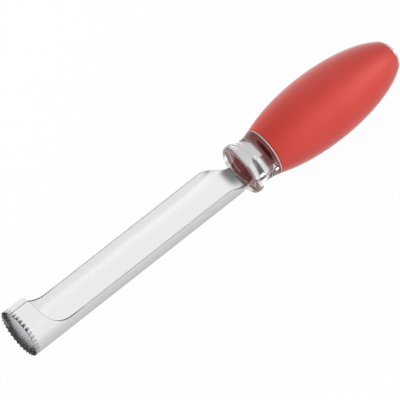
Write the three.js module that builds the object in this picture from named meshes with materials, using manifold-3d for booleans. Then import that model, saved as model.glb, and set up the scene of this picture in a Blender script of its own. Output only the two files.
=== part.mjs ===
// Apple corer: a toothed, rolled steel blade with an open trough, a clear collar and a red egg-shaped handle.
// Millimetres. +X runs from the teeth to the butt of the handle, +Z is the open side of the trough,
// and the handle's axis is the X axis. Places along the tool are measured from the tips of the teeth.
import * as THREE from "three";
import { mergeVertices } from "three/addons/utils/BufferGeometryUtils.js";
import Module from "manifold-3d";

const wasm = await Module();
wasm.setup();

// Blade: stainless sheet rolled into a tube
const BLADE_RADIUS = 10.95; // outside of the rolled sheet
const SHEET = 0.7;
const BLADE_AXIS_Z = 4.4; // the tube sits above the handle's axis, so that the tang runs below it
const RING_LENGTH = 10; // closed ring at the tip, along its top
const RING_FILLET = 11.4; // sweep from the ring's rear edge down to the trough
const TROUGH_EDGE_Z = -0.8; // trough edges, from the tube's own axis
const SHOULDER_X = 104.3; // from here the trough edges fall and the sheet is pinched in to the neck
const SHOULDER_LENGTH = 12.4;
const SHOULDER_HOLD = 0.37; // share of the shoulder's length along which its edge still pulls level
const SHOULDER_FOOT = 0.48; // share of the length at which the edge has fallen by the next share
const SHOULDER_FALL = 0.86;
const NECK_RADIUS = 10; // outside of the sheet at the neck and the tang
const NECK_ANGLE = THREE.MathUtils.degToRad(53); // half the arc of the neck, where the blade enters the collar
const TANG_ANGLE = THREE.MathUtils.degToRad(28); // half the arc of the tang inside the handle
const TANG_TAPER = 5;
const TANG_IN_HANDLE = 42;

// Teeth and seam of the ring: the gaps between the teeth are ground from outside, so they run deeper there
const TEETH = 34;
const TOOTH_DEPTH = 0.8; // on the inside of the ring
const GRIND_LEAN = 1.4; // how much deeper a gap is on the outside
const GRIND_REACH = 2.1; // wall thickness that the grinding of a gap reaches through, past both faces
const TOOTH_LAND = 0.1; // width left at each tip
const SEAM_WIDTH = 0.3;

// Collar: clear bolster between blade and handle
const COLLAR_X = 116.7;
const COLLAR_LENGTH = 13.9;
const COLLAR_FACE_RADIUS = 9.2;
const BEAD_RADIUS = 11.55;
const BEAD_LENGTH = 4.8;
const BEAD_CREST = 2.2; // from the front face
const WAIST_RADIUS = 9.9;
const WAIST_AT = 7.6; // from the front face
const LIP = 0.5; // rounded rear rim
const SPIGOT_RADIUS = 3.6;
const SPIGOT_LENGTH = 6;

// Grip: an ellipsoid of revolution, cut off at the collar and closed by the end cap
const GRIP_RADIUS = 15.5;
const GRIP_SWELL_AT = 30; // widest place, from the collar joint
const GRIP_HALF_LENGTH = 42.2; // half the ellipsoid's length
const SLEEVE_WALL = 1.2;

// Cross pins through core and tang
const PIN_RADIUS = 1.5;
const PIN_LENGTH = 23;
const PIN_FRONT_AT = 14; // from the collar joint
const PIN_PITCH = 18;

// End cap
const CAP_RADIUS = 7;
const CAP_RISE = 2.3;
const BUTT_RADIUS = 3; // flat on the crown of the cap
const STEM_RADIUS = 2.5;
const STEM_LENGTH = 12;

// Clearances
const SEAT_GAP = 0.2; // between faces that seat on each other
const SLOT_GAP = 0.3; // round the tang
const SLEEVE_GAP = 0.25; // between core and sleeve
const BORE_GAP = 0.2; // round spigot, pins and stem
const PAST = 1; // how far a cutter runs past what it cuts

// Facets
const ROUND = 56;
const BLADE_ROUND = 96;
const PIN_ROUND = 20;
const GRIP_STEPS = 8;
const COLLAR_STEPS = 4;
const TRIM_STEPS = 12;
const PINCH_STEPS = 6;

// Places that follow from the sizes above
const neckX = SHOULDER_X + SHOULDER_LENGTH;
const jointX = COLLAR_X + COLLAR_LENGTH;
const gripCentreX = jointX + GRIP_SWELL_AT;
const gripFrontX = jointX + SEAT_GAP;
const tangEndX = jointX + TANG_IN_HANDLE;
const pinXs = [jointX + PIN_FRONT_AT, jointX + PIN_FRONT_AT + PIN_PITCH];
const capSeatX = gripXAt(CAP_RADIUS);
const buttX = capSeatX + CAP_RISE;

// Ellipsoid of the grip: radius at a place along the tool, and the rear place of a radius
function gripRadiusAt(x) {
  return GRIP_RADIUS * Math.sqrt(1 - ((x - gripCentreX) / GRIP_HALF_LENGTH) ** 2);
}

function gripXAt(radius) {
  return gripCentreX + GRIP_HALF_LENGTH * Math.sqrt(1 - (radius / GRIP_RADIUS) ** 2);
}

// Outline of the ellipsoid from one place to another, drawn in by inset: evenly stepped in angle
function gripOutline(fromX, toX, inset, steps) {
  const from = Math.acos((gripCentreX - fromX) / GRIP_HALF_LENGTH);
  const to = Math.acos((gripCentreX - toX) / GRIP_HALF_LENGTH);
  const middle = Math.PI / 2;
  const angles = [];
  for (let i = 0; i <= steps; i += 1) {
    angles.push(THREE.MathUtils.lerp(from, middle, i / steps));
  }
  for (let i = 1; i <= steps; i += 1) {
    angles.push(THREE.MathUtils.lerp(middle, to, i / steps));
  }
  return angles.map((a) => new THREE.Vector2(
    GRIP_RADIUS * Math.sin(a) - inset,
    gripCentreX - GRIP_HALF_LENGTH * Math.cos(a),
  ));
}

// A three.js geometry as a closed solid that can be cut and joined
function solid(geometry) {
  const bare = new THREE.BufferGeometry();
  bare.setAttribute("position", geometry.getAttribute("position"));
  bare.setIndex(geometry.index);
  const merged = mergeVertices(bare, 1e-4);
  const index = merged.index.array;
  const triangles = [];
  for (let i = 0; i < index.length; i += 3) {
    const [a, b, c] = index.subarray(i, i + 3);
    if (a !== b && b !== c && c !== a) {
      triangles.push(a, b, c);
    }
  }
  return new wasm.Manifold(new wasm.Mesh({
    numProp: 3,
    vertProperties: merged.getAttribute("position").array,
    triVerts: Uint32Array.from(triangles),
  }));
}

// Revolve a profile of (radius, place along the tool) about the X axis
function turned(profile, segments) {
  return solid(new THREE.LatheGeometry(profile, segments).rotateZ(-Math.PI / 2));
}

// Round bar along Z
function uprightBar(radius, length, x) {
  const bar = new THREE.CylinderGeometry(radius, radius, length, PIN_ROUND);
  return solid(bar.rotateX(Math.PI / 2).translate(x, 0, 0));
}

function part(name, body, look) {
  const made = body.getMesh();
  const geometry = new THREE.BufferGeometry();
  geometry.setAttribute("position", new THREE.BufferAttribute(made.vertProperties, 3));
  geometry.setIndex(new THREE.BufferAttribute(made.triVerts, 1));
  geometry.computeVertexNormals();
  const mesh = new THREE.Mesh(geometry, new THREE.MeshStandardMaterial(look));
  mesh.name = name;
  return mesh;
}

// Rolled tube of the blade, pinched in at the neck; gap makes it thicker on both sides, for the slot
function rolledTube(gap) {
  const pinchX = (SHOULDER_X + neckX) / 2;
  const wall = new THREE.Path();
  wall.moveTo(BLADE_RADIUS, 0);
  wall.lineTo(BLADE_RADIUS, SHOULDER_X);
  wall.bezierCurveTo(BLADE_RADIUS, pinchX, NECK_RADIUS, pinchX, NECK_RADIUS, neckX);
  wall.lineTo(NECK_RADIUS, tangEndX + gap);
  const line = wall.getPoints(PINCH_STEPS);
  const outer = line.map((p) => new THREE.Vector2(p.x + gap, p.y));
  const inner = line.map((p) => new THREE.Vector2(p.x - SHEET - gap, p.y)).reverse();
  return turned([...outer, ...inner, outer[0]], BLADE_ROUND);
}

// All that is trimmed off the tube, seen from the side: above ring fillet, trough edge, shoulder and tang
function trimmedOff(gap) {
  const top = BLADE_RADIUS + gap + PAST;
  const edge = TROUGH_EDGE_Z + gap;
  const neck = gap - NECK_RADIUS * Math.cos(NECK_ANGLE);
  const tang = gap - NECK_RADIUS * Math.cos(TANG_ANGLE);
  const filletEndX = RING_LENGTH + RING_FILLET;
  const taperX = COLLAR_X + PAST;
  const tangX = taperX + TANG_TAPER;
  const outline = new THREE.Shape();
  outline.moveTo(RING_LENGTH, top);
  outline.lineTo(RING_LENGTH, edge + RING_FILLET);
  outline.absarc(filletEndX, edge + RING_FILLET, RING_FILLET, Math.PI, 1.5 * Math.PI, false);
  outline.lineTo(SHOULDER_X, edge);
  outline.bezierCurveTo(
    SHOULDER_X + SHOULDER_HOLD * SHOULDER_LENGTH, edge,
    SHOULDER_X + SHOULDER_FOOT * SHOULDER_LENGTH, edge + SHOULDER_FALL * (neck - edge),
    neckX, neck,
  );
  outline.lineTo(taperX, neck);
  outline.bezierCurveTo(taperX + TANG_TAPER / 2, neck, taperX + TANG_TAPER / 2, tang, tangX, tang);
  outline.lineTo(tangEndX + gap + PAST, tang);
  outline.lineTo(tangEndX + gap + PAST, top);
  outline.closePath();
  const width = 2 * (BLADE_RADIUS + gap + PAST);
  const block = new THREE.ExtrudeGeometry(outline, {
    depth: width,
    bevelEnabled: false,
    curveSegments: TRIM_STEPS,
  });
  return solid(block.translate(0, 0, -width / 2).rotateX(Math.PI / 2));
}

// Gap between two teeth, standing on the top of the ring and leaning back towards the outside
function toothGap() {
  const inner = BLADE_RADIUS - SHEET;
  const pitch = (2 * Math.PI * inner) / TEETH;
  const half = (pitch - TOOTH_LAND) / 2;
  const front = -(PAST + GRIND_LEAN);
  const flare = (half * (TOOTH_DEPTH - front)) / TOOTH_DEPTH;
  const outline = new THREE.Shape();
  outline.moveTo(front, -flare);
  outline.lineTo(TOOTH_DEPTH, 0);
  outline.lineTo(front, flare);
  outline.closePath();
  const wedge = new THREE.ExtrudeGeometry(outline, { depth: GRIND_REACH, bevelEnabled: false });
  const lean = new THREE.Matrix4().makeShear(0, 0, 0, 0, GRIND_LEAN / SHEET, 0);
  wedge.translate(0, 0, (SHEET - GRIND_REACH) / 2);
  return solid(wedge.applyMatrix4(lean).translate(0, 0, inner));
}

function corerBlade() {
  let body = rolledTube(0).subtract(trimmedOff(0));
  const gap = toothGap();
  for (let i = 0; i < TEETH; i += 1) {
    body = body.subtract(gap.rotate([(360 * i) / TEETH, 0, 0]));
  }
  const seam = new THREE.BoxGeometry(RING_LENGTH + 2 * PAST, SEAM_WIDTH, SHEET + 2 * PAST);
  body = body.subtract(solid(seam.translate(RING_LENGTH / 2, 0, BLADE_RADIUS - SHEET / 2)));
  body = body.translate([0, 0, BLADE_AXIS_Z]);
  for (const x of pinXs) {
    body = body.subtract(uprightBar(PIN_RADIUS + BORE_GAP, PIN_LENGTH, x));
  }
  return body;
}

// Curved slot for neck and tang, shared by the collar and the core
function tangSlot() {
  return rolledTube(SLOT_GAP).subtract(trimmedOff(SLOT_GAP)).translate([0, 0, BLADE_AXIS_Z]);
}

function collar() {
  const outline = new THREE.Path();
  const rear = gripRadiusAt(jointX);
  const crestX = COLLAR_X + BEAD_CREST;
  const beadEndX = COLLAR_X + BEAD_LENGTH;
  const waistX = COLLAR_X + WAIST_AT;
  const beadEndRadius = (BEAD_RADIUS + WAIST_RADIUS) / 2;
  outline.moveTo(0, COLLAR_X);
  outline.lineTo(COLLAR_FACE_RADIUS, COLLAR_X);
  outline.quadraticCurveTo(BEAD_RADIUS, COLLAR_X, BEAD_RADIUS, crestX);
  outline.quadraticCurveTo(BEAD_RADIUS, (crestX + beadEndX) / 2, beadEndRadius, beadEndX);
  outline.quadraticCurveTo(WAIST_RADIUS, (beadEndX + waistX) / 2, WAIST_RADIUS, waistX);
  outline.quadraticCurveTo(WAIST_RADIUS, (waistX + jointX) / 2, rear, jointX - LIP);
  outline.quadraticCurveTo(rear + LIP / 2, jointX, rear - LIP, jointX);
  outline.lineTo(SPIGOT_RADIUS, jointX);
  outline.lineTo(SPIGOT_RADIUS, jointX + SPIGOT_LENGTH);
  outline.lineTo(0, jointX + SPIGOT_LENGTH);
  return turned(outline.getPoints(COLLAR_STEPS), ROUND).subtract(tangSlot());
}

function gripSleeve() {
  const outer = gripOutline(gripFrontX, capSeatX, 0, GRIP_STEPS);
  const inner = gripOutline(gripFrontX, capSeatX, SLEEVE_WALL, GRIP_STEPS).reverse();
  return turned([...outer, ...inner, outer[0]], ROUND);
}

function handleCore() {
  const outer = gripOutline(gripFrontX, capSeatX, SLEEVE_WALL + SLEEVE_GAP, GRIP_STEPS);
  const socketRadius = SPIGOT_RADIUS + BORE_GAP;
  const socketX = jointX + SPIGOT_LENGTH + BORE_GAP;
  const boreRadius = STEM_RADIUS + BORE_GAP;
  const boreX = capSeatX - STEM_LENGTH - BORE_GAP;
  const profile = [
    new THREE.Vector2(0, socketX),
    new THREE.Vector2(socketRadius, socketX),
    new THREE.Vector2(socketRadius, gripFrontX),
    ...outer,
    new THREE.Vector2(boreRadius, capSeatX),
    new THREE.Vector2(boreRadius, boreX),
    new THREE.Vector2(0, boreX),
  ];
  let body = turned(profile, ROUND).subtract(tangSlot());
  for (const x of pinXs) {
    body = body.subtract(uprightBar(PIN_RADIUS + BORE_GAP, 2 * GRIP_RADIUS, x));
  }
  return body;
}

function endCap() {
  const underside = capSeatX + SEAT_GAP;
  const crown = new THREE.EllipseCurve(
    BUTT_RADIUS, underside, CAP_RADIUS - BUTT_RADIUS, buttX - underside, 0, Math.PI / 2,
  );
  const profile = [
    new THREE.Vector2(0, capSeatX - STEM_LENGTH),
    new THREE.Vector2(STEM_RADIUS, capSeatX - STEM_LENGTH),
    new THREE.Vector2(STEM_RADIUS, underside),
    ...crown.getPoints(GRIP_STEPS),
    new THREE.Vector2(0, buttX),
  ];
  return turned(profile, ROUND);
}

const steel = { color: 0xd4d7da, roughness: 0.3, metalness: 1 };
const polished = { color: 0xdcd9d0, roughness: 0.12, metalness: 1 };
const clear = { color: 0xf4f4f4, roughness: 0.05, metalness: 0, transparent: true, opacity: 0.35 };
const hardRed = { color: 0xa8281e, roughness: 0.4, metalness: 0 };
const softRed = { color: 0xc8402f, roughness: 0.6, metalness: 0 };

const handle = new THREE.Group();
handle.add(
  part("handle_core", handleCore(), hardRed),
  part("grip_sleeve", gripSleeve(), softRed),
  part("tang_pin_front", uprightBar(PIN_RADIUS, PIN_LENGTH, pinXs[0]), steel),
  part("tang_pin_rear", uprightBar(PIN_RADIUS, PIN_LENGTH, pinXs[1]), steel),
  part("end_cap", endCap(), polished),
);

const tool = new THREE.Group();
tool.add(
  part("corer_blade", corerBlade(), steel),
  part("collar", collar(), clear),
  handle,
);
tool.position.x = -buttX / 2;

const corer = new THREE.Group();
corer.add(tool);

export default corer;
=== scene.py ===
import bisect
import math

import bmesh
import bpy
from mathutils import Matrix, Vector
from mathutils.geometry import interpolate_bezier


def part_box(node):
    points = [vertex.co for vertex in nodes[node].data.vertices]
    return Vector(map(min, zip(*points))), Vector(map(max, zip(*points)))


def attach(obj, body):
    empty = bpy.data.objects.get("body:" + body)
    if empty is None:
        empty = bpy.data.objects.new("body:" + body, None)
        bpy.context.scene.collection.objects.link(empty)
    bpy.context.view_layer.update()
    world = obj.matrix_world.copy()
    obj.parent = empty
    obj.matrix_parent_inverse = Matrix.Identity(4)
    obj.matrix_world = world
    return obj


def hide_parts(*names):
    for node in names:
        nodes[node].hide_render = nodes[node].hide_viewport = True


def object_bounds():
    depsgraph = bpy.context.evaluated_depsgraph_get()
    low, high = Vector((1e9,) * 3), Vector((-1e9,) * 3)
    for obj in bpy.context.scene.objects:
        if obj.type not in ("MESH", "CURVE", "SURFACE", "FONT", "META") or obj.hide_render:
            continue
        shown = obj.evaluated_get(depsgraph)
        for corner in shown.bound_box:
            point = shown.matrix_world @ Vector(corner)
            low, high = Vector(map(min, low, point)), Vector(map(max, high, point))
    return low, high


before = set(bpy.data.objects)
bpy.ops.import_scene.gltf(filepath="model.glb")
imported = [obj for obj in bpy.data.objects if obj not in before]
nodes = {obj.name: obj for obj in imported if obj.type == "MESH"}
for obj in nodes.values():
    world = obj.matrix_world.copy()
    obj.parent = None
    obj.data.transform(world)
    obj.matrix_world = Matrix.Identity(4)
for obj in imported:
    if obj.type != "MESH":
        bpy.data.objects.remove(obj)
cad_low, cad_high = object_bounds()

# Corer blade
# One piece of stainless sheet, cut to a flat blank, ground to teeth at its wide end and rolled round a
# mandrel until its edges butt along the top of the ring. Behind the ring its sides fall away and leave the
# trough, and its narrow end is the tang that collar and handle are fixed on.
blade_low, blade_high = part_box("corer_blade")
tip_x = blade_low.x
blade_radius = (blade_high.y - blade_low.y) / 2
blade_axis_z = (blade_high.z + blade_low.z) / 2
blade_length = blade_high.x - blade_low.x
collar_low, collar_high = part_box("collar")
collar_at = collar_low.x - tip_x
SHEET = 0.0007
RING_LENGTH = 0.01
RING_FILLET = 0.0114
TROUGH_EDGE = -0.0008
SHOULDER_AT = 0.1043
SHOULDER_LENGTH = 0.0124
SHOULDER_HOLD = 0.37
SHOULDER_FOOT = 0.48
SHOULDER_FALL = 0.86
PINCH = 0.0011
PINCH_FROM = 0.1098
PINCH_TO = 0.1203
NECK_HALF_ARC = math.radians(53)
TANG_HALF_ARC = math.radians(28)
TAPER_INSET = 0.001
TAPER_LENGTH = 0.005
SEAM_WIDTH = 0.0003
TEETH = 34
COLUMNS_PER_TOOTH = 12
TOOTH_DEPTH = 0.0006
GRIND_LEAN = 0.0017
TOOTH_LAND = 0.04
GULLET_ROUND = 3.8
TOOTH_FADE = 0.008
MOUTH_FLARE = 0.0006
MOUTH_LAND = 0.0006
MOUTH_LENGTH = 0.0018
MOUTH_ROWS_TO = 0.0066
EDGE_ROUND = 0.00012
GROUND_ROUND = 0.35
EDGE_STEPS = (0, 0.72, 1.9, 3.6, 6)
BLADE_SHARP = math.radians(20)
EDGE_POINTS = 80
MOUTH_ROWS = 20
RING_ROWS = 8
TROUGH_ROWS = 14
SHOULDER_ROWS = 16
TANG_ROWS = 8
NARROWEST_COLUMN = 1e-4
SAME_ARC = 1e-6
SAME_PLACE = 1e-7
ALONG_BLADE = (40, 2200, 2200)
STREAK_DETAIL = 4
STREAK_BUMP = 0.3
STREAK_DEPTH = 0.000002


def wall_radius(x):
    """Outside of the rolled sheet at a place along the blade: pinched in along the shoulder."""
    share = min(max((x - PINCH_FROM) / (PINCH_TO - PINCH_FROM), 0), 1)
    return blade_radius - PINCH * share * share * (3 - 2 * share)


def arc_at(x, height):
    """Half the arc, from the lowest line of the tube, at which its wall reaches a height above its axis."""
    return math.acos(-height / wall_radius(x))


def falling_edge(*corners):
    """Lookup of the place along the blade at which an edge, drawn from the side as a curve, meets an arc."""
    points = interpolate_bezier(*[Vector((*p, 0)) for p in corners], EDGE_POINTS)
    arcs = [-arc_at(p.x, p.y) for p in points]

    def place(arc):
        i = min(max(bisect.bisect(arcs, -arc), 1), len(points) - 1)
        share = (-arc - arcs[i - 1]) / max(arcs[i] - arcs[i - 1], 1e-9)
        return points[i - 1].x + (points[i].x - points[i - 1].x) * min(max(share, 0), 1)

    return place


def blade_zones(gap):
    """Zones of the blank from teeth to tang: half arc, end along the blade for an arc, rows of faces."""
    trough_from = RING_LENGTH + RING_FILLET
    neck_from = SHOULDER_AT + SHOULDER_LENGTH
    taper_from = collar_at + TAPER_INSET
    tang_from = taper_from + TAPER_LENGTH
    edge = TROUGH_EDGE + gap
    neck = gap - wall_radius(neck_from) * math.cos(NECK_HALF_ARC)
    tang = gap - wall_radius(tang_from) * math.cos(TANG_HALF_ARC)
    shoulder = falling_edge(
        (SHOULDER_AT, edge),
        (SHOULDER_AT + SHOULDER_HOLD * SHOULDER_LENGTH, edge),
        (SHOULDER_AT + SHOULDER_FOOT * SHOULDER_LENGTH, edge + SHOULDER_FALL * (neck - edge)),
        (neck_from, neck),
    )
    half_taper = taper_from + TAPER_LENGTH / 2
    taper = falling_edge((taper_from, neck), (half_taper, neck), (half_taper, tang), (tang_from, tang))
    edge_arc = arc_at(SHOULDER_AT, edge)
    neck_arc = arc_at(neck_from, neck)
    tang_arc = arc_at(tang_from, tang)

    def ring_end(arc):
        rise = min(max(-blade_radius * math.cos(arc) - edge, 0), RING_FILLET)
        return trough_from - math.sqrt(RING_FILLET**2 - (RING_FILLET - rise) ** 2)

    return [
        (math.pi, lambda arc: MOUTH_ROWS_TO, MOUTH_ROWS),
        (math.pi, ring_end, RING_ROWS),
        (edge_arc, lambda arc: SHOULDER_AT, TROUGH_ROWS),
        (edge_arc, lambda arc: neck_from if arc <= neck_arc else shoulder(arc), SHOULDER_ROWS),
        (neck_arc, lambda arc: tang_from if arc <= tang_arc else taper(arc), TANG_ROWS),
        (tang_arc, lambda arc: blade_length + gap, TANG_ROWS),
    ]


def flat_blank(name, zones, gap):
    """Flat sheet of those zones, along X and unrolled along Y, outside up; gap thickens both sides."""
    whole = math.pi - SEAM_WIDTH / 2 / blade_radius
    count = COLUMNS_PER_TOOTH * TEETH
    arcs = [2 * math.pi * k / count - math.pi for k in range(1, count)]
    for limit in {zone[0] for zone in zones[1:]}:
        steps = [math.radians(s) for s in EDGE_STEPS]
        arcs += [side * (limit + turn * s) for s in steps for side in (-1, 1) for turn in (-1, 1)]
    ends = (-whole, whole)
    arcs = sorted(a for a in [*arcs, *ends] if abs(a) <= whole)
    pairs = zip(arcs, [*arcs[1:], math.inf])
    spaced = [a for a, b in pairs if b - a > NARROWEST_COLUMN or a in ends]
    columns = []
    for arc in spaced:
        places = [0.0]
        for limit, end, rows in zones:
            if abs(arc) <= limit + SAME_ARC:
                stop = end(abs(arc))
                begin = places[-1]
                places += [begin + (stop - begin) * (k + 1) / rows for k in range(rows)]
        columns.append(places)
    mesh = bmesh.new()
    ground = mesh.faces.layers.bool.new("ground")
    sheared = mesh.faces.layers.bool.new("sheared")
    hollow = mesh.faces.layers.bool.new("hollow")
    eased = mesh.edges.layers.float.new("bevel_weight_edge")
    outside, inside = [
        [[mesh.verts.new((x, blade_radius * arc, z)) for x in places] for arc, places in zip(spaced, columns)]
        for z in (gap, -SHEET - gap)
    ]
    border = {}
    for j in range(len(spaced) - 1):
        for i in range(min(len(columns[j]), len(columns[j + 1])) - 1):
            corners = [(j, i), (j, i + 1), (j + 1, i + 1), (j + 1, i)]
            mesh.faces.new([outside[a][b] for a, b in corners])
            mesh.faces.new([inside[a][b] for a, b in reversed(corners)])[hollow] = True
            for one, two in zip(corners, corners[1:] + corners[:1]):
                if border.pop((two, one), None) is None:
                    border[(one, two)] = True
    for one, two in border:
        (j, i), (n, m) = one, two
        edge = mesh.faces.new([outside[n][m], outside[j][i], inside[j][i], inside[n][m]])
        edge[ground] = i == 0 and m == 0
        edge[sheared] = not edge[ground]
        for side in (edge.edges[0], edge.edges[2]):
            side[eased] = GROUND_ROUND if edge[ground] else 1
    bmesh.ops.remove_doubles(mesh, verts=mesh.verts, dist=SAME_PLACE)
    bmesh.ops.recalc_face_normals(mesh, faces=mesh.faces)
    data = bpy.data.meshes.new(name)
    mesh.to_mesh(data)
    mesh.free()
    blank = bpy.data.objects.new(name, data)
    bpy.context.collection.objects.link(blank)
    return blank


def new_finish(name):
    finish = bpy.data.materials.new(name)
    finish.use_nodes = True
    tree = finish.node_tree
    return finish, tree, tree.nodes["Principled BSDF"]


def object_place(tree):
    return tree.nodes.new("ShaderNodeTexCoord").outputs["Object"]


def noise(tree, place, scale, detail):
    node = tree.nodes.new("ShaderNodeTexNoise")
    node.inputs["Scale"].default_value = scale
    node.inputs["Detail"].default_value = detail
    tree.links.new(place, node.inputs["Vector"])
    return node.outputs["Fac"]


def two_tone(tree, pattern, dark, light):
    """Colours of a noise pattern, from dark to light across its middle range."""
    colour = tree.nodes.new("ShaderNodeValToRGB")
    for stop, place, tone in zip(colour.color_ramp.elements, (0.3, 0.7), (dark, light)):
        stop.position = place
        stop.color = (*tone, 1)
    tree.links.new(pattern, colour.inputs["Fac"])
    return colour.outputs["Color"]


def mapped(tree, value, source, target, bend="LINEAR"):
    """A value moved from one range to another and held at its ends."""
    node = tree.nodes.new("ShaderNodeMapRange")
    node.interpolation_type = bend
    tree.links.new(value, node.inputs["Value"])
    for socket, number in zip(("From Min", "From Max", "To Min", "To Max"), (*source, *target)):
        node.inputs[socket].default_value = number
    return node.outputs["Result"]


def bumped(tree, height, strength, depth):
    node = tree.nodes.new("ShaderNodeBump")
    node.inputs["Strength"].default_value = strength
    node.inputs["Distance"].default_value = depth
    tree.links.new(height, node.inputs["Height"])
    return node.outputs["Normal"]


def brushed_steel(name, dark, light, rough, streaks):
    """Steel with fine drawn streaks, which run along the axis with the smallest scale."""
    finish, tree, shader = new_finish(name)
    shader.inputs["Metallic"].default_value = 1
    stretch = tree.nodes.new("ShaderNodeMapping")
    stretch.inputs["Scale"].default_value = streaks
    tree.links.new(object_place(tree), stretch.inputs["Vector"])
    grain = noise(tree, stretch.outputs["Vector"], 1, STREAK_DETAIL)
    tree.links.new(two_tone(tree, grain, dark, light), shader.inputs["Base Color"])
    tree.links.new(mapped(tree, grain, (0, 1), rough), shader.inputs["Roughness"])
    tree.links.new(bumped(tree, grain, STREAK_BUMP, STREAK_DEPTH), shader.inputs["Normal"])
    return finish


def darkened_near_teeth(finish, dark_tone, rough, dark_to, bright_from):
    """Steel darker and rougher near the teeth, going back to its own colour and gloss along the trough."""
    tree = finish.node_tree
    shader = tree.nodes["Principled BSDF"]
    split = tree.nodes.new("ShaderNodeSeparateXYZ")
    tree.links.new(object_place(tree), split.inputs["Vector"])
    away_from_teeth = mapped(tree, split.outputs["X"], (dark_to, bright_from), (0, 1), "SMOOTHSTEP")
    for socket, kind, value in (("Base Color", "RGBA", (*dark_tone, 1)), ("Roughness", "FLOAT", rough)):
        bright = shader.inputs[socket].links[0].from_socket
        mix = tree.nodes.new("ShaderNodeMix")
        mix.data_type = kind
        ends = [s for s in mix.inputs if s.enabled and s.name in ("A", "B")]
        ends[0].default_value = value
        tree.links.new(bright, ends[1])
        tree.links.new(away_from_teeth, mix.inputs["Factor"])
        tree.links.new([s for s in mix.outputs if s.enabled][0], shader.inputs[socket])


def rolling_tree():
    """Grinds the front of a flat blank to teeth that lean back towards the outside, thins its mouth from
    inside, and rolls it to a tube that is pinched in towards the tang."""
    tree = bpy.data.node_groups.new("roll_and_grind", "GeometryNodeTree")
    tree.interface.new_socket("Blank", in_out="INPUT", socket_type="NodeSocketGeometry")
    sizes = ["Radius", "Axis height", "Tip place", "Sheet", "Teeth", "Tooth depth", "Grind lean"]
    sizes += ["Tooth land", "Gullet round", "Fade", "Mouth flare", "Mouth land", "Mouth length"]
    sizes += ["Pinch", "Pinch from", "Pinch to"]
    for name in sizes:
        tree.interface.new_socket(name, in_out="INPUT", socket_type="NodeSocketFloat")
    for name in ("Steel", "Ground steel", "Sheared steel", "Hollow steel"):
        tree.interface.new_socket(name, in_out="INPUT", socket_type="NodeSocketMaterial")
    tree.interface.new_socket("Blade", in_out="OUTPUT", socket_type="NodeSocketGeometry")
    given = tree.nodes.new("NodeGroupInput").outputs
    link = tree.links.new

    def math_node(operation, *values):
        node = tree.nodes.new("ShaderNodeMath")
        node.operation = operation
        for socket, value in zip(node.inputs, values):
            if isinstance(value, (int, float)):
                socket.default_value = value
            else:
                link(value, socket)
        return node.outputs["Value"]

    where = tree.nodes.new("ShaderNodeSeparateXYZ")
    link(tree.nodes.new("GeometryNodeInputPosition").outputs["Position"], where.inputs["Vector"])
    along, round_, up = where.outputs
    angle = math_node("DIVIDE", round_, given["Radius"])
    turns = math_node("ADD", math_node("DIVIDE", angle, 2 * math.pi), 0.5)
    phase = math_node("FRACT", math_node("MULTIPLY", turns, given["Teeth"]))
    aside = math_node("ABSOLUTE", math_node("SUBTRACT", math_node("MULTIPLY", phase, 2), 1))
    into = math_node("DIVIDE", math_node("SUBTRACT", 1, aside), math_node("SUBTRACT", 1, given["Tooth land"]))
    gap = math_node("SUBTRACT", 1, math_node("POWER", math_node("MINIMUM", into, 1), given["Gullet round"]))
    outer = math_node("ADD", math_node("DIVIDE", up, given["Sheet"]), 1)
    fade = math_node("MAXIMUM", math_node("SUBTRACT", 1, math_node("DIVIDE", along, given["Fade"])), 0)
    depth = math_node("ADD", given["Tooth depth"], math_node("MULTIPLY", outer, given["Grind lean"]))
    back = math_node("MULTIPLY", gap, depth)
    shifted = math_node("ADD", along, math_node("MULTIPLY", back, fade))
    inside = math_node("MAXIMUM", math_node("SUBTRACT", shifted, given["Mouth land"]), 0)
    lengths_in = math_node("DIVIDE", inside, given["Mouth length"])
    mouth = math_node("EXPONENT", math_node("MULTIPLY", lengths_in, -1))
    flare = math_node("MULTIPLY", mouth, given["Mouth flare"])
    thinned = math_node("MULTIPLY", math_node("SUBTRACT", 1, outer), flare)
    pinch = tree.nodes.new("ShaderNodeMapRange")
    pinch.interpolation_type = "SMOOTHSTEP"
    link(along, pinch.inputs["Value"])
    link(given["Pinch from"], pinch.inputs["From Min"])
    link(given["Pinch to"], pinch.inputs["From Max"])
    link(given["Pinch"], pinch.inputs["To Max"])
    wall = math_node("SUBTRACT", math_node("ADD", up, given["Radius"]), pinch.outputs["Result"])
    radius = math_node("ADD", wall, thinned)
    rolled = tree.nodes.new("ShaderNodeCombineXYZ")
    link(math_node("ADD", shifted, given["Tip place"]), rolled.inputs["X"])
    across = math_node("MULTIPLY", radius, math_node("SINE", angle))
    link(math_node("MULTIPLY", across, -1), rolled.inputs["Y"])
    drop = math_node("MULTIPLY", radius, math_node("COSINE", angle))
    link(math_node("SUBTRACT", given["Axis height"], drop), rolled.inputs["Z"])
    roll = tree.nodes.new("GeometryNodeSetPosition")
    link(given["Blank"], roll.inputs["Geometry"])
    link(rolled.outputs["Vector"], roll.inputs["Position"])
    realize = tree.nodes.new("GeometryNodeRealizeInstances")
    link(roll.outputs["Geometry"], realize.inputs["Geometry"])
    steel = tree.nodes.new("GeometryNodeSetMaterial")
    link(realize.outputs["Geometry"], steel.inputs["Geometry"])
    link(given["Steel"], steel.inputs["Material"])
    made = steel.outputs["Geometry"]
    for mark, name in (("ground", "Ground steel"), ("sheared", "Sheared steel"), ("hollow", "Hollow steel")):
        marked = tree.nodes.new("GeometryNodeInputNamedAttribute")
        marked.data_type = "BOOLEAN"
        marked.inputs["Name"].default_value = mark
        finish = tree.nodes.new("GeometryNodeSetMaterial")
        link(made, finish.inputs["Geometry"])
        link(marked.outputs["Attribute"], finish.inputs["Selection"])
        link(given[name], finish.inputs["Material"])
        made = finish.outputs["Geometry"]
    link(made, tree.nodes.new("NodeGroupOutput").inputs["Blade"])
    return tree


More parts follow.
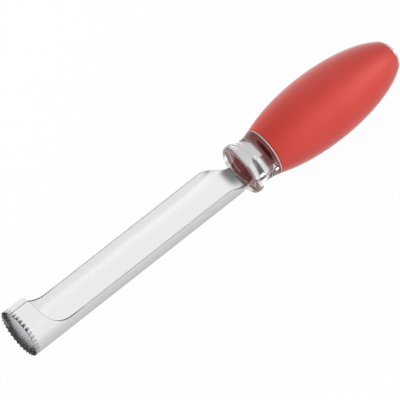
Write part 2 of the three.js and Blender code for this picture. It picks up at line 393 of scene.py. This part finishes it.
def made_plain(piece, sharp=math.radians(32)):
    """Turns a piece with modifiers into a plain mesh, smooth but for its sharp edges."""
    bpy.context.view_layer.update()
    graph = bpy.context.evaluated_depsgraph_get()
    data = bpy.data.meshes.new_from_object(piece.evaluated_get(graph))
    piece.modifiers.clear()
    piece.data = data
    data.shade_smooth()
    data.set_sharp_from_angle(angle=sharp)
    return piece


def rolled(blank, tooth_depth, grind_lean, mouth_flare, edge_round):
    """Rolls and grinds a blank, eases its edges where a size for that is given, and makes it plain."""
    roll = blank.modifiers.new("roll_and_grind", "NODES")
    roll.node_group = roll_and_grind
    values = {
        "Radius": blade_radius,
        "Axis height": blade_axis_z,
        "Tip place": tip_x,
        "Sheet": SHEET,
        "Teeth": float(TEETH),
        "Tooth depth": tooth_depth,
        "Grind lean": grind_lean,
        "Tooth land": TOOTH_LAND,
        "Gullet round": GULLET_ROUND,
        "Fade": TOOTH_FADE,
        "Mouth flare": mouth_flare,
        "Mouth land": MOUTH_LAND,
        "Mouth length": MOUTH_LENGTH,
        "Pinch": PINCH,
        "Pinch from": PINCH_FROM,
        "Pinch to": PINCH_TO,
        "Steel": satin_steel,
        "Ground steel": ground_steel,
        "Sheared steel": sheared_steel,
        "Hollow steel": hollow_steel,
    }
    finishes = [satin_steel, ground_steel, sheared_steel, hollow_steel]
    for finish in finishes:
        blank.data.materials.append(finish)
    for socket in roll_and_grind.interface.items_tree:
        if socket.in_out == "INPUT" and socket.name in values:
            roll[socket.identifier] = values[socket.name]
    if edge_round:
        eased = blank.modifiers.new("eased_edges", "BEVEL")
        eased.width = edge_round
        eased.segments = 2
        eased.limit_method = "WEIGHT"
        eased.use_clamp_overlap = False
        # the rounded edges take the sheared steel, and with it the painted dark line near the ring
        eased.material = finishes.index(sheared_steel)
    return made_plain(blank, BLADE_SHARP)


roll_and_grind = rolling_tree()
satin_steel = brushed_steel(
    "satin_steel",
    dark=(0.92, 0.922, 0.926),
    light=(0.935, 0.938, 0.942),
    rough=(0.14, 0.18),
    streaks=ALONG_BLADE,
)
ground_steel = brushed_steel(
    "ground_steel",
    dark=(0.5, 0.51, 0.52),
    light=(0.66, 0.67, 0.68),
    rough=(0.1, 0.18),
    streaks=(3000, 600, 600),
)
sheared_steel = brushed_steel(
    "sheared_steel",
    dark=(0.66, 0.66, 0.67),
    light=(0.8, 0.8, 0.81),
    rough=(0.35, 0.5),
    streaks=(900, 2500, 2500),
)
hollow_steel = brushed_steel(
    "hollow_steel",
    dark=(0.955, 0.957, 0.96),
    light=(0.97, 0.973, 0.975),
    rough=(0.16, 0.2),
    streaks=ALONG_BLADE,
)
# Painted dark reflection: towards the ring the cut edges turn near black and rough, standing in for the dark
# line that the fillet's edge mirrors; further back they keep the grey of cut steel.
darkened_near_teeth(
    sheared_steel,
    dark_tone=(0.1, 0.1, 0.105),
    rough=0.6,
    dark_to=tip_x + 0.016,
    bright_from=tip_x + 0.03,
)
# Inside the ring the steel turns darker and rougher near the teeth.
darkened_near_teeth(
    hollow_steel,
    dark_tone=(0.84, 0.845, 0.85),
    rough=0.2,
    dark_to=tip_x + 0.005,
    bright_from=tip_x + 0.018,
)
blade = rolled(flat_blank("blade", blade_zones(0), 0), TOOTH_DEPTH, GRIND_LEAN, MOUTH_FLARE, EDGE_ROUND)
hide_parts("corer_blade")
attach(blade, "root")

# Tang pins
# Two drawn steel pins, pressed crosswise through the core and the tang before the skin is moulded over them.
# They stay as the frame holds them, with a bright drawn finish.
drawn_steel = brushed_steel(
    "drawn_steel",
    dark=(0.6, 0.61, 0.63),
    light=(0.78, 0.79, 0.8),
    rough=(0.25, 0.4),
    streaks=(2500, 2500, 60),
)
for name in ("tang_pin_front", "tang_pin_rear"):
    nodes[name].data.materials.clear()
    nodes[name].data.materials.append(drawn_steel)

# Collar
# Clear acrylic bolster, moulded round the neck and the tang and polished. A bead in front keeps the fingers
# off the blade, and a spigot behind the flared rim plugs into the handle's core.
bead_radius = (collar_high.y - collar_low.y) / 2
grip_low, grip_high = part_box("grip_sleeve")
SPIGOT_LENGTH = 0.006
SPIGOT_RADIUS = 0.0036
FACE_RADIUS = 0.0092
BEAD_CREST = 0.0022
BEAD_LENGTH = 0.0048
BEAD_HIGHLIGHT_FROM = 0.001
WAIST_AT = 0.0076
WAIST_RADIUS = 0.0099
RIM_LIP = 0.0005
MOULDED_GRIP = 0.00005
SEAT_GAP = 0.0002
SWELL_AT = 0.03
HALF_LENGTH = 0.0422
COLLAR_SEGMENTS = 288
ACRYLIC_IOR = 1.49
collar_x = collar_low.x
joint_x = collar_high.x - SPIGOT_LENGTH
grip_radius = (grip_high.y - grip_low.y) / 2
swell_x = joint_x + SWELL_AT


def grip_radius_at(x):
    return grip_radius * math.sqrt(1 - ((x - swell_x) / HALF_LENGTH) ** 2)


def curve(start, pull, end, steps=10):
    """Points after start on a soft bend from start to end, pulled towards a corner."""
    points = []
    for k in range(1, steps + 1):
        t = k / steps
        mix = [(1 - t) ** 2 * a + 2 * t * (1 - t) * b + t * t * c for a, b, c in zip(start, pull, end)]
        points.append(tuple(mix))
    return points


def turned(name, outline, segments=144):
    """Solid turned about the tool's axis from (place, radius) points, on the axis at both ends or closed."""
    mesh = bmesh.new()
    closed = outline[0] == outline[-1]
    rings = []
    for x, radius in outline[:-1] if closed else outline:
        count = segments if radius > 0 else 1
        turns = [2 * math.pi * k / segments for k in range(count)]
        rings.append([mesh.verts.new((x, radius * math.sin(a), radius * math.cos(a))) for a in turns])
    pairs = list(zip(rings, rings[1:] + rings[:1] if closed else rings[1:]))
    for one, two in pairs:
        for k in range(segments):
            n = (k + 1) % segments
            corners = [one[k % len(one)], one[n % len(one)], two[n % len(two)], two[k % len(two)]]
            mesh.faces.new(list(dict.fromkeys(corners)))
    bmesh.ops.recalc_face_normals(mesh, faces=mesh.faces)
    data = bpy.data.meshes.new(name)
    mesh.to_mesh(data)
    mesh.free()
    piece = bpy.data.objects.new(name, data)
    bpy.context.collection.objects.link(piece)
    return piece


def clear_acrylic():
    """Polished clear plastic with faint handling marks in its gloss."""
    finish, tree, shader = new_finish("clear_acrylic")
    shader.inputs["Base Color"].default_value = (0.92, 0.92, 0.925, 1)
    shader.inputs["IOR"].default_value = ACRYLIC_IOR
    shader.inputs["Transmission Weight"].default_value = 1
    marks = noise(tree, object_place(tree), scale=400, detail=5)
    gloss = mapped(tree, marks, source=(0.45, 0.75), target=(0.01, 0.06))
    tree.links.new(gloss, shader.inputs["Roughness"])
    return finish


def whitened_acrylic(name, rough, clear, dark, light):
    """Clear plastic with a dull surface whose whitish colour is painted highlight, for bright edge
    reflections.
    """
    finish, tree, shader = new_finish(name)
    shader.inputs["Roughness"].default_value = rough
    shader.inputs["IOR"].default_value = ACRYLIC_IOR
    shader.inputs["Transmission Weight"].default_value = clear
    rings = noise(tree, object_place(tree), scale=700, detail=3)
    tree.links.new(two_tone(tree, rings, dark, light), shader.inputs["Base Color"])
    return finish


rim_radius = grip_radius_at(joint_x)
crest = (collar_x + BEAD_CREST, bead_radius)
bead_end = (collar_x + BEAD_LENGTH, (bead_radius + WAIST_RADIUS) / 2)
waist = (collar_x + WAIST_AT, WAIST_RADIUS)
rim = (joint_x - RIM_LIP, rim_radius)
face = (collar_x, FACE_RADIUS)
outline = [(collar_x, 0), face]
outline += curve(face, (collar_x, bead_radius), crest)
outline += curve(crest, ((crest[0] + bead_end[0]) / 2, bead_radius), bead_end)
outline += curve(bead_end, ((bead_end[0] + waist[0]) / 2, WAIST_RADIUS), waist)
outline += curve(waist, ((waist[0] + joint_x) / 2, WAIST_RADIUS), rim)
seat_x = joint_x + SEAT_GAP + MOULDED_GRIP
bond_radius = SPIGOT_RADIUS + SEAT_GAP + MOULDED_GRIP
outline += curve(rim, (joint_x, rim_radius + RIM_LIP / 2), (joint_x, rim_radius - RIM_LIP))
outline += [(seat_x, rim_radius - RIM_LIP), (seat_x, bond_radius)]
outline += [(collar_high.x, bond_radius), (collar_high.x, 0)]
collar = turned("clear_collar", outline, COLLAR_SEGMENTS)
slot = rolled(flat_blank("tang_slot", blade_zones(-MOULDED_GRIP), -MOULDED_GRIP), 0, 0, 0, 0)
slotted = collar.modifiers.new("tang_slot", "BOOLEAN")
slotted.object = slot
slotted.solver = "EXACT"
made_plain(collar)
collar.data.materials.clear()
# Painted highlight: the flared rim at the joint is whitened and nearly opaque, standing in for the thin
# bright line along its edge.
rim_highlight_acrylic = whitened_acrylic(
    "rim_highlight_acrylic",
    rough=0.45,
    clear=0.25,
    dark=(0.72, 0.68, 0.68),
    light=(0.88, 0.86, 0.86),
)
# Painted highlight: the bead's front edge is whitened to stand in for the bright reflections along it.
bead_highlight_acrylic = whitened_acrylic(
    "bead_highlight_acrylic",
    rough=0.16,
    clear=0.84,
    dark=(0.86, 0.83, 0.83),
    light=(0.95, 0.93, 0.93),
)
acrylics = [clear_acrylic(), rim_highlight_acrylic, bead_highlight_acrylic]
for finish in acrylics:
    collar.data.materials.append(finish)
# The rim at the joint and the bead's front edge take whitened acrylic, a painted highlight.
for face in collar.data.polygons:
    out = Vector((face.center.y, face.center.z)).length
    if face.center.x > joint_x - RIM_LIP and out > rim_radius - RIM_LIP:
        face.material_index = acrylics.index(rim_highlight_acrylic)
    elif face.center.x < collar_x + BEAD_CREST and out > FACE_RADIUS + BEAD_HIGHLIGHT_FROM:
        face.material_index = acrylics.index(bead_highlight_acrylic)
bpy.data.objects.remove(slot)
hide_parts("collar")
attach(collar, "root")

# Handle core
# Hard red moulding under the skin, with the collar's socket and the tang's slot in its front face, which
# shows through the clear collar. It stays as the frame holds it.
CLOUD_SCALE = 60
CLOUD_DETAIL = 3
GRAIN_DETAIL = 2
GRAIN_BUMP = 0.35
CORE_GLOSS = 0.05


def moulded_plastic(name, dark, light, rough, grain_size, grain_depth):
    """Moulded plastic: a slightly uneven colour under a fine, even surface grain."""
    finish, tree, shader = new_finish(name)
    place = object_place(tree)
    cloud = noise(tree, place, CLOUD_SCALE, CLOUD_DETAIL)
    grain = noise(tree, place, 1 / grain_size, GRAIN_DETAIL)
    tree.links.new(two_tone(tree, cloud, dark, light), shader.inputs["Base Color"])
    tree.links.new(mapped(tree, cloud, (0, 1), rough), shader.inputs["Roughness"])
    tree.links.new(bumped(tree, grain, GRAIN_BUMP, grain_depth), shader.inputs["Normal"])
    return finish


hard_red = moulded_plastic(
    "hard_red",
    dark=(0.39, 0.082, 0.078),
    light=(0.47, 0.1, 0.095),
    rough=(0.3, 0.4),
    grain_size=0.0006,
    grain_depth=0.00001,
)
hard_red.node_tree.nodes["Principled BSDF"].inputs["Specular IOR Level"].default_value = CORE_GLOSS
nodes["handle_core"].data.materials.clear()
nodes["handle_core"].data.materials.append(hard_red)

# Grip sleeve
# Soft-touch red skin moulded over the core, egg-shaped to fill the palm, with a satin-matt face and a fine
# even grain. Its front lip meets the collar's rim, and its rear lip closes round the end button.
SLEEVE_WALL = 0.0012
LIP_ROUND = 0.0003
REAR_ROUND = 0.00065
REAR_LIP_RISE = 0.0011
REAR_LIP_RADIUS = 0.00485
OUTER_STEPS = 96
INNER_STEPS = 32
REAR_LIP_STEPS = 12
FRONT_LIP_STEPS = 4
GRIP_SEGMENTS = 160


def grip_outline(inset, rear_x, steps):
    """Outline of the skin's outer or inner face from front to rear, stepped evenly round the ellipse."""
    first = math.acos((swell_x - grip_low.x) / HALF_LENGTH)
    last = math.acos((swell_x - rear_x) / HALF_LENGTH)
    turns = [first + (last - first) * k / steps for k in range(steps + 1)]
    return [(swell_x - HALF_LENGTH * math.cos(a), grip_radius * math.sin(a) - inset) for a in turns]


outer = grip_outline(0, grip_high.x - REAR_ROUND, OUTER_STEPS)
inner = grip_outline(SLEEVE_WALL, grip_high.x, INNER_STEPS)
lip_x = grip_high.x + REAR_LIP_RISE
fall = (outer[-1][1] - outer[-2][1]) / (outer[-1][0] - outer[-2][0])
lip_pull = (lip_x, outer[-1][1] + fall * (lip_x - outer[-1][0]))
rear_lip = curve(outer[-1], lip_pull, (lip_x, REAR_LIP_RADIUS), REAR_LIP_STEPS)
under_lip = [(grip_high.x + SEAT_GAP, REAR_LIP_RADIUS), (grip_high.x + SEAT_GAP, inner[-1][1])]
front_lip = curve((grip_low.x, outer[0][1] - LIP_ROUND), outer[0], outer[1], FRONT_LIP_STEPS)
sleeve_outline = [(grip_low.x, outer[0][1] - LIP_ROUND), *front_lip, *outer[2:]]
sleeve_outline += [*rear_lip, *under_lip, *reversed(inner)]
sleeve = turned("grip_skin", [*sleeve_outline, sleeve_outline[0]], GRIP_SEGMENTS)
soft_red = moulded_plastic(
    "soft_red",
    dark=(0.56, 0.033, 0.019),
    light=(0.6, 0.039, 0.023),
    rough=(0.46, 0.52),
    grain_size=0.0004,
    grain_depth=0.000006,
)
soft_shader = soft_red.node_tree.nodes["Principled BSDF"]
soft_shader.inputs["Specular IOR Level"].default_value = 0.72
soft_shader.inputs["Sheen Weight"].default_value = 0.75
soft_shader.inputs["Sheen Roughness"].default_value = 0.36
sleeve.data.materials.append(soft_red)
made_plain(sleeve)
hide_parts("grip_sleeve")
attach(sleeve, "root")

# End cap
# Polished metal button, turned from bar, whose stem is pressed into the core. Its crown carries on the egg
# shape of the handle and ends in a small flat.
cap_low, cap_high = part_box("end_cap")
BUTTON_RADIUS = 0.0048
BUTTON_EDGE = 0.0007
STEM_LENGTH = 0.012
STEM_RADIUS = 0.0025
BUTT_RADIUS = 0.003
CROWN_STEPS = 24
underside = cap_low.x + STEM_LENGTH + SEAT_GAP
crown = []
for k in range(CROWN_STEPS + 1):
    turn = math.pi / 2 * k / CROWN_STEPS
    across = BUTT_RADIUS + (BUTTON_RADIUS - BUTT_RADIUS) * math.cos(turn)
    crown.append((cap_high.x - BUTTON_EDGE * (1 - math.sin(turn)), across))
stem = [(cap_low.x, 0), (cap_low.x, STEM_RADIUS), (underside, STEM_RADIUS), (underside, BUTTON_RADIUS)]
cap = turned("end_button", [*stem, *crown, (cap_high.x, 0)])
polished = brushed_steel(
    "polished_cap",
    dark=(0.74, 0.725, 0.68),
    light=(0.82, 0.81, 0.77),
    rough=(0.08, 0.16),
    streaks=(900, 900, 900),
)
cap.data.materials.append(polished)
made_plain(cap)
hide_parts("end_cap")
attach(cap, "root")

# Floor and light
# White studio sweep under soft boxes: the floor is seen as white and still takes the tool's shadow. Where
# metal and clear plastic mirror it, it carries a painted shadow, dimmer beside the tool and dark just before
# its teeth.
# Metal and clear plastic mirror a drawn room, dark in front of the teeth, with a soft window beside the
# handle.
FLOOR_SIZE = 8
FLOOR_GREY = (0.85, 0.85, 0.85, 1)
WHITE = (1, 1, 1, 1)
AMBIENT = 0.5
SEEN_WHITE = 0.97
SHADOWED_MIRROR_WHITE = 0.53
MIRROR_SHADOW_WIDTH = 0.05
TIP_SHADE_FROM = -0.008
TIP_SHADE_FULL = 0.004
ROOM_WHITE = 0.885
ROOM_DARK = 0.06
OVER_BLADE = (-0.04, 0.19)
LOW_WALLS = (0.84, 0.95)
BEFORE_TEETH = (-0.08, 0.01)
BEHIND_BUTT = (0.72, 0.95)
BUTT_SHADE = 0.2
WINDOW = (0.78, -0.6, 0.18)
WINDOW_EDGE = (0.85, 0.97)
WINDOW_LIGHT = 3


def by_ray(tree, lighting, mirrored, seen):
    """One shader out of three: for rays that only light, for mirrored or refracted ones, for seen ones."""
    path = tree.nodes.new("ShaderNodeLightPath")
    rays = (("Is Glossy Ray", mirrored), ("Is Transmission Ray", mirrored), ("Is Camera Ray", seen))
    shown = lighting
    for ray, shader in rays:
        mix = tree.nodes.new("ShaderNodeMixShader")
        tree.links.new(path.outputs[ray], mix.inputs["Fac"])
        tree.links.new(shown, mix.inputs[1])
        tree.links.new(shader, mix.inputs[2])
        shown = mix.outputs["Shader"]
    return shown


def joined(tree, operation, *values):
    node = tree.nodes.new("ShaderNodeMath")
    node.operation = operation
    for socket, value in zip(node.inputs, values):
        tree.links.new(value, socket)
    return node.outputs["Value"]


bpy.ops.mesh.primitive_plane_add(size=FLOOR_SIZE, location=(0, 0, cad_low.z))
floor = bpy.context.object
floor.name = "floor"
paper = bpy.data.materials.new("white_paper")
paper.use_nodes = True
paper_tree = paper.node_tree
paper_tree.nodes.remove(paper_tree.nodes["Principled BSDF"])
matt = paper_tree.nodes.new("ShaderNodeBsdfDiffuse")
matt.inputs["Color"].default_value = FLOOR_GREY
glow = paper_tree.nodes.new("ShaderNodeEmission")
mirrored_glow = paper_tree.nodes.new("ShaderNodeEmission")
floor_split = paper_tree.nodes.new("ShaderNodeSeparateXYZ")
paper_tree.links.new(object_place(paper_tree), floor_split.inputs["Vector"])
floor_x, floor_y, _ = floor_split.outputs
# Painted shadow: the floor's mirrored glow dims beside the tool and falls to near black just before its
# teeth.
beside = joined(paper_tree, "ABSOLUTE", floor_y)
mirrored_shadow = mapped(paper_tree, beside, (0, MIRROR_SHADOW_WIDTH), (SHADOWED_MIRROR_WHITE, ROOM_WHITE))
shade_before_tip = mapped(paper_tree, floor_x, (tip_x + TIP_SHADE_FROM, tip_x + TIP_SHADE_FULL), (ROOM_DARK, 1))
shaded_mirror_glow = joined(paper_tree, "MULTIPLY", mirrored_shadow, shade_before_tip)
paper_tree.links.new(shaded_mirror_glow, mirrored_glow.inputs["Strength"])
seen = paper_tree.nodes.new("ShaderNodeMixShader")
seen.inputs["Fac"].default_value = SEEN_WHITE
paper_tree.links.new(matt.outputs["BSDF"], seen.inputs[1])
paper_tree.links.new(glow.outputs["Emission"], seen.inputs[2])
shown = by_ray(paper_tree, matt.outputs["BSDF"], mirrored_glow.outputs["Emission"], seen.outputs["Shader"])
paper_tree.links.new(shown, paper_tree.nodes["Material Output"].inputs["Surface"])
floor.data.materials.append(paper)

world = bpy.data.worlds.new("studio")
bpy.context.scene.world = world
world.use_nodes = True
world_tree = world.node_tree
ambient = world_tree.nodes["Background"]
ambient.inputs["Strength"].default_value = AMBIENT
room = world_tree.nodes.new("ShaderNodeBackground")
white_wall = world_tree.nodes.new("ShaderNodeBackground")
for light in (ambient, room, white_wall):
    light.inputs["Color"].default_value = WHITE


def room_step(value, directions, target=(0, 1)):
    """Soft step between two directions of the room."""
    return mapped(world_tree, value, directions, target, "SMOOTHSTEP")


facing = world_tree.nodes.new("ShaderNodeTexCoord").outputs["Generated"]
split = world_tree.nodes.new("ShaderNodeSeparateXYZ")
world_tree.links.new(facing, split.inputs["Vector"])
to_handle, to_side, _ = split.outputs
over_blade = room_step(to_handle, OVER_BLADE)
low_walls = room_step(joined(world_tree, "ABSOLUTE", to_side), LOW_WALLS)
before_teeth = room_step(to_handle, BEFORE_TEETH)
lit = joined(world_tree, "MINIMUM", joined(world_tree, "MAXIMUM", over_blade, low_walls), before_teeth)
walls = room_step(lit, (0, 1), (ROOM_DARK, ROOM_WHITE))
behind_butt = room_step(to_handle, BEHIND_BUTT, (1, BUTT_SHADE))
towards_window = world_tree.nodes.new("ShaderNodeVectorMath")
towards_window.operation = "DOT_PRODUCT"
towards_window.inputs[1].default_value = Vector(WINDOW).normalized()
world_tree.links.new(facing, towards_window.inputs[0])
window = room_step(towards_window.outputs["Value"], WINDOW_EDGE, (0, WINDOW_LIGHT))
shaded = joined(world_tree, "MULTIPLY", walls, behind_butt)
world_tree.links.new(joined(world_tree, "ADD", shaded, window), room.inputs["Strength"])
shown = by_ray(world_tree, *[light.outputs["Background"] for light in (ambient, room, white_wall)])
world_tree.links.new(shown, world_tree.nodes["World Output"].inputs["Surface"])


def soft_box(name, place, aim, size, power):
    """Square lamp that lights matt surfaces and doesn't show itself, in the picture or in the gloss."""
    lamp = bpy.data.lights.new(name, "AREA")
    lamp.size = size
    lamp.energy = power
    box = bpy.data.objects.new(name, lamp)
    box.location = place
    box.rotation_euler = (Vector(aim) - Vector(place)).to_track_quat("-Z", "Y").to_euler()
    box.visible_camera = False
    box.visible_glossy = False
    bpy.context.collection.objects.link(box)


MID_GRIP = (0.065, 0, 0)
soft_box("key_box", place=(0.13, -0.42, 0.14), aim=MID_GRIP, size=0.3, power=1.15)
soft_box("rim_box", place=(-0.24, 0.46, 0.2), aim=MID_GRIP, size=0.4, power=2.6)

# Camera
# Long lens from in front of the teeth and above, rolled so that the tool lies across the picture from corner
# to corner; it looks at a point near the middle of the tool.
VIEW_TURN = math.radians(73.15)
VIEW_TILT = math.radians(50.22)
VIEW_ROLL = math.radians(38.12)
VIEW_DISTANCE = 2.5
FOCAL_PIXELS = 6134.2
PICTURE_PIXELS = 400
SENSOR = 36
CLIP_END = 50
LOOK_AT = (0.09593, -0.00015, 0.00082)
HALF_PIXEL = VIEW_DISTANCE / FOCAL_PIXELS / 2
back = Vector((
    -math.cos(VIEW_TURN),
    -math.sin(VIEW_TURN) * math.sin(VIEW_TILT),
    math.sin(VIEW_TURN) * math.cos(VIEW_TILT),
))
along = Vector((1, 0, 0))
level = (along - along.dot(back) * back).normalized()
upright = back.cross(level)
right = math.cos(VIEW_ROLL) * level - math.sin(VIEW_ROLL) * upright
up = math.sin(VIEW_ROLL) * level + math.cos(VIEW_ROLL) * upright
aim = Vector((tip_x + LOOK_AT[0], *LOOK_AT[1:])) + HALF_PIXEL * (up - right)
lens = bpy.data.cameras.new("camera")
lens.sensor_width = SENSOR
lens.lens = SENSOR * FOCAL_PIXELS / PICTURE_PIXELS
lens.clip_end = CLIP_END
camera = bpy.data.objects.new("camera", lens)
facing_tool = Matrix((right, up, back)).transposed().to_4x4()
camera.matrix_world = Matrix.Translation(aim + VIEW_DISTANCE * back) @ facing_tool
bpy.context.collection.objects.link(camera)
bpy.context.scene.camera = camera
bpy.context.scene.view_settings.view_transform = "Standard"
